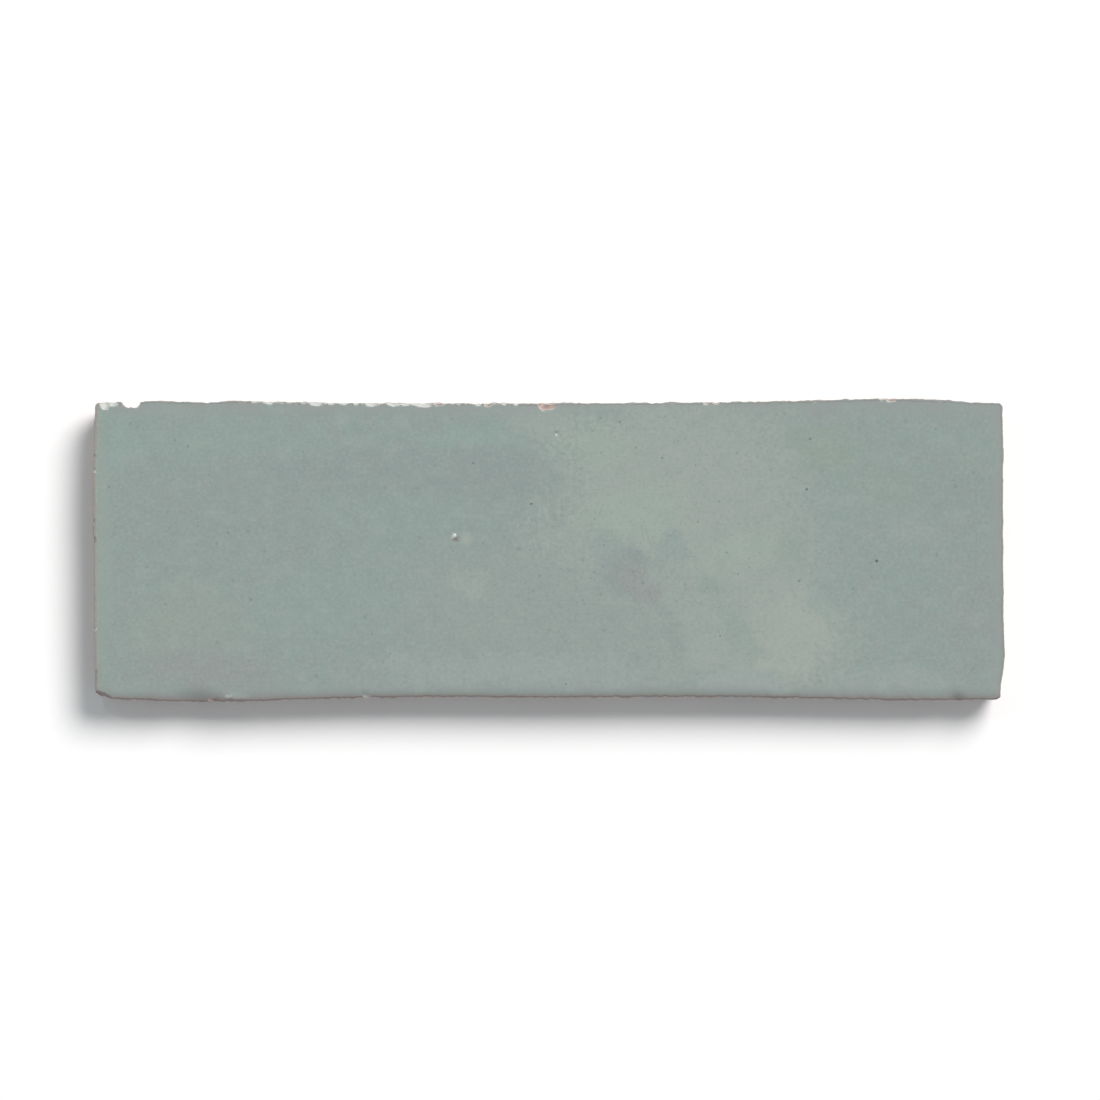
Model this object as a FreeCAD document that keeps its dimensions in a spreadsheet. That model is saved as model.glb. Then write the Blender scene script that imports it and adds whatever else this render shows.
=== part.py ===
"""Handmade glazed subway wall tile, lying on its back with the glazed face up.

Millimetres. The origin is the middle of the flat back, +X runs along the tile, +Y across it
towards its upper long edge as it hangs on a wall, and +Z points out of the glazed face.
"""
import FreeCAD
import Part
import os
import Sketcher

NODE = "wall_tile"

# Driving sizes of the tile
SIZES = {
    "tile_length": 200.0,
    "tile_width": 65.0,
    "tile_thickness": 11.0,
    "lip_height": 3.5,  # upright part of the dressed edge, below the face
    "bed_inset": 1.3,  # below the lip the edge slopes in to the back
    "corner_radius": 1.0,
    "corner_run": 2.5,  # straight run beside each corner
    "arris_radius": 0.5,  # the glaze rounds the edge of the face
    "lower_roll": 0.4,  # the face falls away towards its long edges
    "upper_roll": 0.25,
    "face_overlap": 2.0,  # the face's sections reach this far past the outline
    "trim_stock": 1.5,  # clay above the face before it is shaped
    "chip_drop": 1.5,  # reach of a chip down the edge
    "notch_drop": 14.0,  # reach of a notch, which goes through the whole edge
    "chip_sink": 0.5,  # the arris lies this far below the top of the face
}

# How far each edge stands out from a straight line, from corner to corner, counter-clockwise
EDGE_WAVES = {
    "lower": (0.1, 1.05, 0.5, -0.2, -0.3, -0.05, -0.3, -0.3, 0.05, 0.7, 0.3),
    "right": (-0.55, 0.88, 0.0, 0.2, 0.0, 0.08, 0.0, 0.15, -0.1),
    "upper": (-0.1, 1.35, 0.5, 0.15, 0.0, -0.1, -0.05, -0.15, 0.35, 0.3, 0.1),
    "left": (0.0, 0.5, 0.3, 0.2, 0.15, -0.05),
}

# How far the middle of the face lies below its highest point, from the left end to the right
FACE_DIPS = (0.4, 0.15, 0.0, 0.2, 0.45)

# Chips: edge, the size of their drop, distance from the left end, how far out of the straight
# edge their middle lies, length, bite
CHIPS = (
    ("upper", "chip_drop", 3.2, 0.1, 3.8, 1.6),
    ("upper", "notch_drop", 8.0, 0.2, 4.0, 1.2),
    ("upper", "chip_drop", 48.7, 0.1, 2.7, 1.1),
    ("upper", "chip_drop", 60.9, 0.0, 2.5, 1.1),
    ("upper", "chip_drop", 65.8, -0.05, 2.7, 0.9),
    ("upper", "chip_drop", 72.3, -0.05, 3.8, 1.2),
    ("upper", "chip_drop", 99.3, -0.05, 4.9, 1.7),
    ("lower", "notch_drop", 0.6, 1.0, 6.6, 2.2),
    ("lower", "chip_drop", 25.9, 0.75, 2.6, 1.1),
    ("lower", "chip_drop", 59.8, -0.1, 2.2, 1.0),
    ("lower", "chip_drop", 189.9, 0.55, 2.6, 0.9),
)

SHEET = "dims"
EDGES = tuple(EDGE_WAVES)
SPLINE_DEGREE = 3
FACE_STEPS = (-0.5, 0, 0.5)  # where the face is level, as shares of its half width
# Numbers that a sketch gives its own origin and the points of its lines and arcs
ORIGIN_INDEX = (-1, 1)
START_INDEX = 1
END_INDEX = 2
CENTRE_INDEX = 3


class Length:
    """A length held both as a number and as the sheet expression that gives it."""

    def __init__(self, value, text):
        self.value = value
        self.text = text

    def __add__(self, other):
        return Length(self.value + other.value, f"{self.text} + {other.text}")

    def __sub__(self, other):
        return Length(self.value - other.value, f"{self.text} - ({other.text})")

    def __neg__(self):
        return Length(-self.value, f"-({self.text})")

    def __mul__(self, number):
        return Length(self.value * number, f"({self.text}) * {number}")


def list_rows():
    """Every size of the tile by its own name."""
    rows = dict(SIZES)
    for edge, waves in EDGE_WAVES.items():
        rows.update({f"{edge}_wave_{number}": wave for number, wave in enumerate(waves)})
    rows.update({f"face_dip_{number}": dip for number, dip in enumerate(FACE_DIPS)})
    for number, (_, _, *chip) in enumerate(CHIPS):
        names = ("along", "out", "length", "bite")
        rows.update({f"chip_{number}_{name}": value for name, value in zip(names, chip)})
    return rows


ROWS = list_rows()


def size(name):
    return Length(ROWS[name], f"{SHEET}.{name}")


def fill_sheet(doc):
    """Puts every size into a row of the spreadsheet."""
    sheet = doc.addObject("Spreadsheet::Sheet", SHEET)
    for row, (name, value) in enumerate(ROWS.items(), start=1):
        sheet.set(f"A{row}", name)
        sheet.set(f"B{row}", str(value))
        sheet.setAlias(f"B{row}", name)
    doc.recompute()


def attach(body, feature, role):
    """Lays a sketch or a primitive on one of the body's own origin planes."""
    plane = [item for item in body.Origin.OriginFeatures if item.Role == role][0]
    feature.AttachmentSupport = [(plane, "")]
    feature.MapMode = "FlatFace"


def new_sketch(body, name, role, height):
    """An empty sketch, raised by a length from an origin plane."""
    sketch = body.newObject("Sketcher::SketchObject", name)
    attach(body, sketch, role)
    sketch.setExpression("AttachmentOffset.Base.z", height.text)
    return sketch


def bind(sketch, constraint, length):
    """Adds a constraint whose size the sheet gives."""
    index = sketch.addConstraint(constraint)
    sketch.setExpression(f"Constraints[{index}]", length.text)


def pin(sketch, geometry, point, place):
    """Holds a point of a sketch at a place, given as two lengths from the origin."""
    for kind, length in zip(("DistanceX", "DistanceY"), place):
        bind(sketch, Sketcher.Constraint(kind, *ORIGIN_INDEX, geometry, point, length.value), length)


def vector(place):
    return FreeCAD.Vector(place[0].value, place[1].value, 0)


def add_spline(sketch, places):
    """A smooth curve drawn by control points, which starts at the first and ends at the last."""
    spans = len(places) - SPLINE_DEGREE
    ends = SPLINE_DEGREE + 1
    repeats = [ends] + [1] * (spans - 1) + [ends]
    curve = Part.BSplineCurve()
    curve.buildFromPolesMultsKnots(
        [vector(place) for place in places], repeats, list(range(spans + 1)), False, SPLINE_DEGREE
    )
    spline = sketch.addGeometry(curve, False)
    sketch.exposeInternalGeometry(spline)
    for pole, place in enumerate(places, start=spline + 1):
        pin(sketch, pole, CENTRE_INDEX, place)
    return spline


def add_line(sketch, start, end):
    line = sketch.addGeometry(Part.LineSegment(vector(start), vector(end)), False)
    pin(sketch, line, START_INDEX, start)
    pin(sketch, line, END_INDEX, end)
    return line


def add_corner(sketch, first, following):
    """Rounds the corner from the end of one edge of an outline to the start of the next."""
    start = sketch.getPoint(first, END_INDEX)
    end = sketch.getPoint(following, START_INDEX)
    radius = size("corner_radius")
    sweep = FreeCAD.Vector(end.y - start.y, start.x - end.x, 0).normalize()
    middle = (start + end) * 0.5 + sweep * radius.value * (1 - 0.5 ** 0.5)
    arc = sketch.addGeometry(Part.Arc(start, middle, end), False)
    sketch.addConstraint(Sketcher.Constraint("Coincident", arc, START_INDEX, first, END_INDEX))
    sketch.addConstraint(Sketcher.Constraint("Coincident", arc, END_INDEX, following, START_INDEX))
    bind(sketch, Sketcher.Constraint("Radius", arc, radius.value), radius)


def runs_along(edge):
    return size("tile_length") if edge in ("lower", "upper") else size("tile_width")


def stands_off(edge):
    return size("tile_width") * 0.5 if edge in ("lower", "upper") else size("tile_length") * 0.5


def plan(edge, along, out):
    """A place along an edge and out from the middle of the tile, on the tile's own axes."""
    turned = {
        "lower": (along, -out),
        "right": (out, along),
        "upper": (-along, out),
        "left": (-out, -along),
    }
    return turned[edge]


def wavy_edge(sketch, edge):
    """One edge of the face: straight beside its two corners and wavy between them."""
    last = len(EDGE_WAVES[edge]) - 1
    waves = [stands_off(edge) + size(f"{edge}_wave_{number}") for number in range(last + 1)]
    turn = EDGES.index(edge)
    before = EDGES[turn - 1]
    after = EDGES[(turn + 1) % len(EDGES)]
    half = runs_along(edge) * 0.5 - size("corner_radius")
    start = -(half + size(f"{before}_wave_{len(EDGE_WAVES[before]) - 1}"))
    end = half + size(f"{after}_wave_0")
    places = [(start, waves[0]), (start + size("corner_run"), waves[0])]
    for number in range(1, last):
        places.append((runs_along(edge) * (number / last - 0.5), waves[number]))
    places += [(end - size("corner_run"), waves[last]), (end, waves[last])]
    return add_spline(sketch, [plan(edge, along, out) for along, out in places])


def straight_edge(sketch, edge):
    """One edge of the back: straight, and inset from the edge of the face."""
    out = stands_off(edge) - size("bed_inset")
    half = runs_along(edge) * 0.5 - size("bed_inset") - size("corner_radius")
    return add_line(sketch, plan(edge, -half, out), plan(edge, half, out))


def outline(body, name, height, draw_edge):
    """A closed outline of four edges with rounded corners."""
    sketch = new_sketch(body, name, "XY_Plane", height)
    edges = [draw_edge(sketch, edge) for edge in EDGES]
    for number, edge in enumerate(edges):
        add_corner(sketch, edge, edges[(number + 1) % len(edges)])
    return sketch


def dressed_slab(body):
    """The slab: edges that slope out from the straight back, then an upright wavy lip."""
    lip_foot = size("tile_thickness") - size("lip_height")
    bed = outline(body, "bed_outline", size("tile_thickness") * 0, straight_edge)
    rim = outline(body, "rim_outline", lip_foot, wavy_edge)
    flanks = body.newObject("PartDesign::AdditiveLoft", "flanks")
    flanks.Profile = bed
    flanks.Sections = [rim]
    flanks.Ruled = True
    lip = body.newObject("PartDesign::Pad", "lip")
    lip.Profile = rim
    lip.setExpression("Length", (size("lip_height") + size("trim_stock")).text)


def face_section(body, number):
    """A cross-section of the clay to trim off, whose lower side is the face's crowned line."""
    share = number / (len(FACE_DIPS) - 1) - 0.5
    station = (size("tile_length") + size("face_overlap") * 2) * share
    sketch = new_sketch(body, f"face_section_{number}", "YZ_Plane", station)
    half = size("tile_width") * 0.5 + size("face_overlap")
    level = size("tile_thickness") - size(f"face_dip_{number}")
    above = size("tile_thickness") + size("trim_stock") * 2
    lower = (-half, level - size("lower_roll"))
    upper = (half, level - size("upper_roll"))
    add_spline(sketch, [lower, *((half * step, level) for step in FACE_STEPS), upper])
    add_line(sketch, upper, (half, above))
    add_line(sketch, (half, above), (-half, above))
    add_line(sketch, (-half, above), lower)
    return sketch


def crowned_face(body):
    """Trims the slab down to the crowned, slightly uneven face."""
    sections = [face_section(body, number) for number in range(len(FACE_DIPS))]
    face = body.newObject("PartDesign::SubtractiveLoft", "face")
    face.Profile = sections[0]
    face.Sections = sections[1:]
    return face


def rounded_arris(body, face):
    """Rounds the whole rim of the face, as the glaze does."""
    shape = face.Shape
    crown = max(shape.Faces, key=lambda side: side.CenterOfMass.z)
    rim = [
        f"Edge{number}"
        for number, edge in enumerate(shape.Edges, start=1)
        if any(edge.isSame(side) for side in crown.Edges)
    ]
    arris = body.newObject("PartDesign::Fillet", "arris")
    arris.Base = (face, rim)
    arris.setExpression("Radius", size("arris_radius").text)


def edge_chip(body, number, edge, drop):
    """A chip out of the arris: an ellipsoid whose middle lies at the edge of the face."""
    chip = body.newObject("PartDesign::SubtractiveEllipsoid", f"chip_{number}")
    attach(body, chip, "XY_Plane")
    along = size(f"chip_{number}_along") - size("tile_length") * 0.5
    out = stands_off(edge) + size(f"chip_{number}_out")
    middle = (along, out if edge == "upper" else -out, size("tile_thickness") - size("chip_sink"))
    for axis, length in zip("xyz", middle):
        chip.setExpression(f"AttachmentOffset.Base.{axis}", length.text)
    chip.setExpression("Radius1", size(drop).text)
    chip.setExpression("Radius2", (size(f"chip_{number}_length") * 0.5).text)
    chip.setExpression("Radius3", size(f"chip_{number}_bite").text)


def check(doc, body):
    """Stops if any object of the document failed or the tile isn't one sound solid."""
    for item in doc.Objects:
        if "Invalid" in item.State or "Error" in item.State:
            raise RuntimeError(f"{item.Label} failed: {item.State}")
    shape = body.Shape
    if shape.isNull() or not shape.isValid() or len(shape.Solids) != 1:
        raise RuntimeError(f"{body.Label} is not one sound solid")


def build():
    doc = FreeCAD.newDocument("subway_wall_tile")
    fill_sheet(doc)
    body = doc.addObject("PartDesign::Body", "tile")
    body.Label = NODE
    dressed_slab(body)
    face = crowned_face(body)
    doc.recompute()
    rounded_arris(body, face)
    for number, (edge, drop, *_) in enumerate(CHIPS):
        edge_chip(body, number, edge, drop)
    doc.recompute()
    check(doc, body)
    os.makedirs("parts", exist_ok=True)
    body.Shape.exportStep(f"parts/{NODE}.step")


build()
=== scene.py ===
"""Handmade glazed wall tile: glazed face, chipped edges, bare clay back, and a studio to see it in.

The tables and the shape functions are in millimetres on the tile's own axes: +X along the tile,
+Y towards its upper edge, +Z out of the glazed face. Blender's own lengths are in metres.
"""
import math
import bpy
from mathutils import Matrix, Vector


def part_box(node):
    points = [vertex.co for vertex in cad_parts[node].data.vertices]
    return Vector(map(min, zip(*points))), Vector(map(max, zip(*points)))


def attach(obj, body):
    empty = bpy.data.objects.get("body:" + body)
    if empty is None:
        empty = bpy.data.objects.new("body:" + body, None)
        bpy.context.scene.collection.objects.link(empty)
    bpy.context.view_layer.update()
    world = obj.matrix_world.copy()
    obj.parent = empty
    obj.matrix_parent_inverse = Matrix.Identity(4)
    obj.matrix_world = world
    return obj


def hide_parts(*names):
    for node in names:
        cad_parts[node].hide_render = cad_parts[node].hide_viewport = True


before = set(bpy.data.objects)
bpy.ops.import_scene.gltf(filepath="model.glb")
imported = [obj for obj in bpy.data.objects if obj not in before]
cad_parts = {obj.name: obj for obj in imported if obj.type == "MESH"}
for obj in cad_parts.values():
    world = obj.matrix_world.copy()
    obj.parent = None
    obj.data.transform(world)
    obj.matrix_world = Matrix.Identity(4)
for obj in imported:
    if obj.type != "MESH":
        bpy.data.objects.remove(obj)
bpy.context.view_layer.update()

from types import SimpleNamespace

import bpy
import numpy as np

bl_info = {
    "name": "Handmade wall tile",
    "version": (1, 0, 0),
    "blender": (4, 5, 0),
    "location": "3D View > Sidebar > Tile",
    "description": "Builds a glazed handmade wall tile and a white studio round it",
    "category": "Object",
}

NODE = "wall_tile"
PIECE = "glazed_tile"
BODY = "root"
MM = 0.001  # metres in a millimetre
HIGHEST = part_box(NODE)[1]
TINY = 1e-9  # keeps a divisor above nought

EDGES = ("lower", "right", "upper", "left")  # counter-clockwise, seen from above
LONG_EDGES = ("lower", "upper")
AXES = {  # direction along each edge, and out of it
    "lower": ((1, 0), (0, -1)),
    "right": ((0, 1), (1, 0)),
    "upper": ((-1, 0), (0, 1)),
    "left": ((0, -1), (-1, 0)),
}

# How far each edge stands out from a straight line, from corner to corner, counter-clockwise
EDGE_WAVES = {
    "lower": (0.1, 1.05, 0.5, -0.2, -0.3, -0.05, -0.3, -0.3, 0.05, 0.7, 0.3),
    "right": (-0.55, 0.88, 0.0, 0.2, 0.0, 0.08, 0.0, 0.15, -0.1),
    "upper": (-0.1, 1.35, 0.5, 0.15, 0.0, -0.1, -0.05, -0.15, 0.35, 0.3, 0.1),
    "left": (0.0, 0.5, 0.3, 0.2, 0.15, -0.05),
}
STRAIGHT = {edge: (0.0,) * len(waves) for edge, waves in EDGE_WAVES.items()}

# How far the face rolls down beside each edge, and how rough the hand-dressed edge line is
EDGE_ROLLS = {"lower": 0.52, "right": 0.2, "upper": 0.14, "left": 0.0}
EDGE_ROUGHNESS = {"lower": 0.035, "right": 0.02, "upper": 0.03, "left": 0.02}
ARRIS_RADII = {"lower": 0.5, "right": 0.25, "upper": 0.25, "left": 0.12}
EDGE_BLEND = 20  # columns each way over which an edge's roughness and radius pass into the next one's
ROLL_BLEND = 40  # the same for its roll

# Longer waves of the edges: edge, distance from its left or lower end, half length, stand-out
EDGE_BUMPS = (
    ("upper", 13.9, 4.0, 0.22),
    ("upper", 24.4, 4.0, -0.22),
    ("upper", 31.0, 4.5, 0.2),
    ("upper", 41.0, 4.0, -0.1),
)

FACE_DIPS = (0.4, 0.15, 0.0, 0.2, 0.45)  # middle of the face below its highest point, left to right
CROWN_FALLS = (0.4, 0.0, 0.0, 0.0, 0.25)  # fall of the face across it, from the lower edge
CROWN_OVERLAP = 2.0  # the crown's line reaches this far past the edges

# Uneven waves: height, wavelength and seed of each. The edge line's heights are shares of its roughness
WAVELENGTH_SPREAD = (0.7, 1.4)  # shortest and longest, as shares of the wavelength given
FACE_WAVES = ((0.022, 24, 3), (0.008, 7, 4))
FACE_SINK = 0.05  # the waves' middle lies this far under the smooth face
EDGE_LINE_WAVES = ((1.0, 2.6, 11), (0.7, 1.1, 12), (1.0, 7, 13))
BACK_WAVES = ((0.1, 18, 31), (0.05, 5, 32))
BACK_FADE = 6.0  # width over which the hollows of the back fade out

# Waves and scrapes of the sides: height, wavelength, seed, shift in x and y for each mm of height
SIDE_WAVES = ((0.07, 6, 21, 0.8, -0.6), (0.04, 1.7, 22, -1.0, 1.0))
FIRST_LIP_SHARE = 0.4  # share of those waves on the lip's first row

# Blisters, pits and dents of the face: x, y, half length, half width, height
BLEMISHES = (
    (-20.9, 3.15, 0.48, 0.48, 0.26),
    (-20.5, 2.4, 0.55, 0.55, -0.2),
    (1.75, 25.85, 0.4, 0.4, -0.24),
    (1.4, 26.3, 0.5, 0.5, 0.05),
    (-78.0, -33.3, 4.4, 2.0, -1.1),
    (-70.0, -32.3, 1.7, 0.7, 0.4),
    (-67.5, -32.6, 1.2, 0.6, 0.2),
    (-41.0, -31.6, 0.6, 0.6, -0.15),
    (89.6, -33.3, 1.5, 1.6, -1.0),
)

# Chips out of the arris: edge, distance from the edge's left or lower end, length, bite, drop,
# and how much of the clay body shows in the middle of the chip
CHIPS = (
    ("upper", 2.2, 2.4, 1.6, 1.4, 0.0),
    ("upper", 3.7, 2.9, 0.8, 1.1, 0.0),
    ("upper", 35.0, 1.6, 0.35, 0.4, 0.3),
    ("upper", 38.5, 2.2, 0.4, 0.5, 0.3),
    ("upper", 48.7, 3.2, 0.8, 0.8, 0.0),
    ("upper", 52.0, 2.0, 0.4, 0.5, 0.0),
    ("upper", 55.0, 2.4, 0.35, 0.5, 0.0),
    ("upper", 57.5, 1.6, 0.4, 0.5, 0.0),
    ("upper", 60.9, 3.0, 0.77, 0.8, 0.0),
    ("upper", 65.8, 3.2, 0.65, 0.7, 0.0),
    ("upper", 68.3, 2.6, 0.5, 0.6, 0.0),
    ("upper", 70.0, 1.5, 0.4, 0.5, 0.0),
    ("upper", 72.3, 4.4, 0.85, 0.9, 0.0),
    ("upper", 75.7, 2.6, 0.7, 0.8, 1.2),
    ("upper", 84.4, 1.8, 0.6, 0.7, 0.0),
    ("upper", 86.7, 2.2, 0.8, 0.8, 1.1),
    ("upper", 90.2, 1.2, 0.4, 0.4, 0.3),
    ("upper", 92.8, 1.4, 0.35, 0.4, 0.3),
    ("upper", 99.6, 4.7, 1.5, 1.5, 1.0),
    ("upper", 134.6, 1.6, 0.5, 0.5, 1.6),
    ("upper", 136.8, 1.8, 0.35, 0.4, 1.8),
    ("upper", 173.4, 1.8, 0.35, 0.4, 1.8),
    ("upper", 175.4, 3.0, 0.6, 0.6, 1.8),
    ("lower", 25.9, 3.6, 0.85, 0.9, 2.5),
    ("lower", 59.8, 2.2, 1.0, 0.9, 0.0),
    ("lower", 123.9, 1.8, 0.4, 0.5, 0.2),
    ("lower", 151.5, 1.2, 0.35, 0.4, 0.2),
    ("lower", 156.5, 1.6, 0.35, 0.4, 0.2),
    ("lower", 171.4, 1.0, 0.35, 0.4, 0.2),
    ("left", 15.0, 0.9, 0.35, 0.4, 0.0),
    ("left", 50.0, 0.9, 0.35, 0.4, 0.0),
)
CHIP_OFFSET = 0.6  # a chip's centre lies this share of its bite outside the edge
CHIP_UNEVENNESS = 0.025  # waves of a chip's surface, as a share of its size
CHIP_SEED = 100  # seed of the first chip's waves, from which the others count on

# Small worn chips, spread at random
NIBBLES = {"lower": 14, "right": 6, "upper": 44, "left": 8}
NIBBLE_SEED = 7
NIBBLE_MARGIN = 3.0  # none lies nearer to the end of an edge
NIBBLE_BITES = (0.12, 0.34)
NIBBLE_LENGTHS = (2, 6)  # as multiples of the bite

# Notches through the whole lip: edge, distance from its left end, how far out of the straight edge
# their middle lies, length, reach, how much they narrow for each mm of depth, and clay shown
NOTCHES = (
    ("upper", 7.2, 0.9, 2.9, 2.0, 0.0, 0.0),
    ("upper", 8.6, 0.9, 2.9, 2.0, 0.0, 0.0),
    # This corner's clay value also darkens its break with painted shade.
    ("lower", -1.2, 2.4, 12.6, 4.35, 0.04, 4.0),
)
NARROWEST_NOTCH = 0.1  # a notch keeps at least this share of its size

# Soft patches of the glaze: tone, x, y, half length, half width, turn in degrees, strength
CLOUDS = (
    ("dark", -70.0, 8.0, 36, 13, 0, 0.35),
    ("green", -73.6, 24.8, 27, 5, 0, 0.45),
    ("green", -32.8, 7.2, 18, 6, 0, 0.4),
    ("green", -48.0, -10.5, 22, 8, 10, 0.4),
    ("ochre", -80.2, -16.5, 14, 8, 10, 0.6),
    ("violet", -74.7, -26.5, 18, 5, -4, 0.9),
    ("violet", -42.7, -25.9, 5, 3, 0, 0.5),
    ("green", -16.3, 24.2, 12, 3.6, 0, 0.9),
    ("green", -94.5, 22.6, 4, 6, 0, 0.8),
    ("ash", 1.3, -14.0, 34, 17, 0, 0.8),
    ("mist", -7.5, -27.0, 36, 4, 0, 0.7),
    ("dark", 90.5, 11.6, 9, 11, 0, 0.5),
    ("violet", 94.5, -13.8, 6, 13, 0, 0.5),
    ("pale", -2.0, 29.0, 9, 5, -30, 0.8),
    ("pale", 28.9, 14.5, 29, 22, 0, 1.0),
    ("pale", 42.1, -3.0, 18, 15, 0, 0.9),
    ("pale", 49.8, -18.2, 18, 16, 0, 1.0),
    ("pale", 31.1, -19.3, 10, 12, 0, 0.6),
    ("pale", 4.6, 0.6, 6, 5, -30, 0.5),
    ("leaf", 9.0, 23.7, 9, 6, 0, 0.6),
    ("leaf", 17.8, 8.3, 12, 6, 0, 0.7),
    ("leaf", 42.1, -0.6, 11, 4.5, 0, 0.6),
    ("cream", 55.3, -16.0, 8, 9, 0, 0.45),
    ("cream", 49.8, -26.5, 9, 4, 0, 0.5),
    ("dark", 17.6, -3.4, 6.5, 5, -45, 1.0),
    ("blue", 11.2, 2.2, 4, 3.5, 0, 0.6),
    ("dark", 27.2, -20.4, 9, 2.6, -60, 0.6),
    ("olive", 61.9, 22.6, 7, 6, 0, 0.8),
    ("olive", 75.1, 13.8, 6, 4, 0, 0.6),
    ("blue", 60.8, 12.7, 5, 6, 0, 0.6),
    ("blue", 63.0, -8.8, 4.6, 5, 20, 0.7),
    ("moss", 54.2, -1.7, 3.5, 4, 0, 0.5),
    ("mist", 80.6, 5.0, 9, 4, 0, 0.4),
    ("pale", -15.7, -6.6, 3.4, 3, -30, 1.0),
    ("pale", 7.4, -4.4, 3, 3, 0, 0.6),
    ("mist", 77.0, -28.0, 16, 2.6, 0, 0.7),
    ("ochre", 91.6, 22.6, 3, 3, 0, 0.4),
    ("pale", 34.0, -23.0, 6, 5.5, 0, 1.0),
)

# Patches with a clearer rim: the same values
BRUSHED_PATCHES = (
    ("dark", -33.0, 17.0, 32.0, 5.6, 0, 0.7),
    ("dark", -11.2, 17.0, 13.2, 6.4, -8, 0.8),
    ("violet", 19.5, -7.4, 6.0, 4.0, -42, 0.85),
    ("blue", 27.5, 1.0, 3.9, 3.3, 0, 0.85),
    ("moss", 38.0, -12.0, 9.0, 2.0, -60, 0.4),
    ("moss", 42.6, -20.6, 6.5, 3.2, -70, 0.5),
    ("moss", 35.0, -7.2, 2.6, 2.4, 0, 0.6),
    ("mist", 42.5, -29.3, 9.0, 3.8, 0, 1.0),
)

# Zones of the glaze: x, y, half length, half width
PINHOLED_ZONE = (22.0, 8.0, 38.0, 32.0)
STROKES_ZONE = (1.0, 4.0, 8.0, 11.0)
FLAKED_ZONE = (-36.0, 33.0, 32.0, 4.0)

# Where the stained rims begin and where they are full: x beside the left edge, y beside the lower one
LEFT_RIM = (-97.0, -99.5)
LOWER_RIM = (-30.5, -32.0)

# Pinholes of the pinholed zone and of the rest: spacing, share of the places that have one, strength
DENSE_PINHOLES = ((0.85, 1.0, 0.6), (2.3, 0.4, 0.36))
STRAY_PINHOLES = (3.7, 0.3, 0.2)

# Dark specks melted into the glaze, and one painted shade on the upper-left wall of a pit: x, y, radius,
# strength
SPECKS_AND_PIT_SHADE = (
    (72.2, -2.3, 0.48, 1.0),
    (57.5, 24.6, 0.42, 0.6),
    (56.8, 13.5, 0.46, 0.75),
    (55.1, -6.7, 0.42, 0.5),
    (15.6, 28.3, 0.42, 0.5),
    (24.9, 20.4, 0.36, 0.6),
    (-16.7, 19.3, 0.36, 0.6),
    (-3.9, 10.3, 0.34, 0.95),
    (12.1, 1.2, 0.3, 0.4),
    (3.7, -29.4, 0.32, 0.6),
    (26.7, 3.2, 0.34, 0.4),
    (37.7, -18.8, 0.34, 0.5),
    # Painted shade: the dark upper-left wall of the pit at 1.75, 25.85.
    (1.5, 26.1, 0.5, 0.3),
    (-82.4, 24.3, 0.34, 0.4),
    (-79.5, 23.0, 0.36, 0.35),
    (-70.7, 3.9, 0.36, 0.4),
    (-96.9, 14.0, 0.4, 0.4),
    (-54.2, 21.7, 0.3, 0.35),
    (-49.1, 19.1, 0.3, 0.35),
    (-39.0, -18.4, 0.3, 0.35),
    (-35.0, -22.8, 0.3, 0.35),
    (81.7, 28.1, 0.3, 0.35),
    (85.2, 26.8, 0.3, 0.35),
)
SPECK_CORE = 0.3  # share of a speck's radius that is fully dark

# Spots on the blister, on the lower edge's lip and on thinly glazed places, with painted highlights
# and painted shade among them: colour, x, y, half length, half width, strength
SPOTS_AND_PAINTED_LIGHT = (
    # Painted shadow and painted highlight of the blister: the brown spot at its lower right is partly clay
    # in its pit and partly painted shadow, and the white spot is partly the blister's white slip and partly
    # a painted highlight.
    ("stain_and_shade", -20.6, 2.4, 0.85, 0.8, 0.75),
    ("slip", -20.95, 3.25, 0.78, 0.7, 1.0),
    # Painted highlights: pale slip colour where the raised glaze of the lower lip and a chip show glints,
    # partly thin glaze over slip.
    ("slip", -70.7, -32.2, 0.9, 0.55, 0.7),
    ("slip", -68.9, -32.7, 1.2, 0.35, 0.6),
    ("slip", -40.2, -31.9, 0.6, 0.4, 0.8),
    # Painted shade: darker brown in the dent beside the lower edge.
    ("stain_and_shade", 89.2, -32.6, 1.6, 0.6, 0.4),
    ("cream", -18.1, 2.6, 1.7, 2.1, 0.45),
    ("cream", -45.6, 29.0, 2.2, 2.4, 0.2),
    ("cream", -33.0, 28.6, 2.5, 2.4, 0.24),
    ("leaf", -100.0, 0.0, 5.0, 40.0, 0.25),
)

# Heights of the fine relief that is only shaded
CLAY_GRAIN = 0.12
CLAY_SCRAPES = 0.1
GLAZE_PEEL = 0.008

# Division of the mesh
CELLS_ALONG = 240
CELLS_ACROSS = 72
FINE_PER_CELL = 4  # columns of the edge band for each cell beside it
BACK_SHARE = 2  # the back's cells are this many times larger
CURVE_SAMPLES = 800  # points along a spline
DENSITY_SAMPLES = 3200  # points at which the density of cells is added up
FINE_SPOTS_ALONG = ((-20.9, 1.6, 4.0), (1.7, 1.2, 4.0))  # x, reach, gain of finer cells
FINE_SPOTS_ACROSS = ((3.0, 1.6, 3.0), (25.9, 1.2, 3.0))
FACE_INSETS = (3.0, 2.45, 1.95, 1.55, 1.2, 0.9, 0.65)
ARRIS_STEPS = 8
LIP_DEPTHS = (0.75, 1.1, 1.5, 2.0, 2.7, 3.5)
FLANK_SHARES = (0.3, 0.6, 0.93)
FOOT_STEPS = 3
FOOT_RADIUS = 0.3
ARRIS_ROW = len(FACE_INSETS)  # first row of the arris
LIP_ROW = ARRIS_ROW + ARRIS_STEPS  # first row of the lip
CLAY_ROW = LIP_ROW + len(LIP_DEPTHS) - 1  # the rows from here down are bare clay
FOLD_ROW = ARRIS_ROW + ARRIS_STEPS // 2  # the rows from here down are mapped from the side

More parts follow.
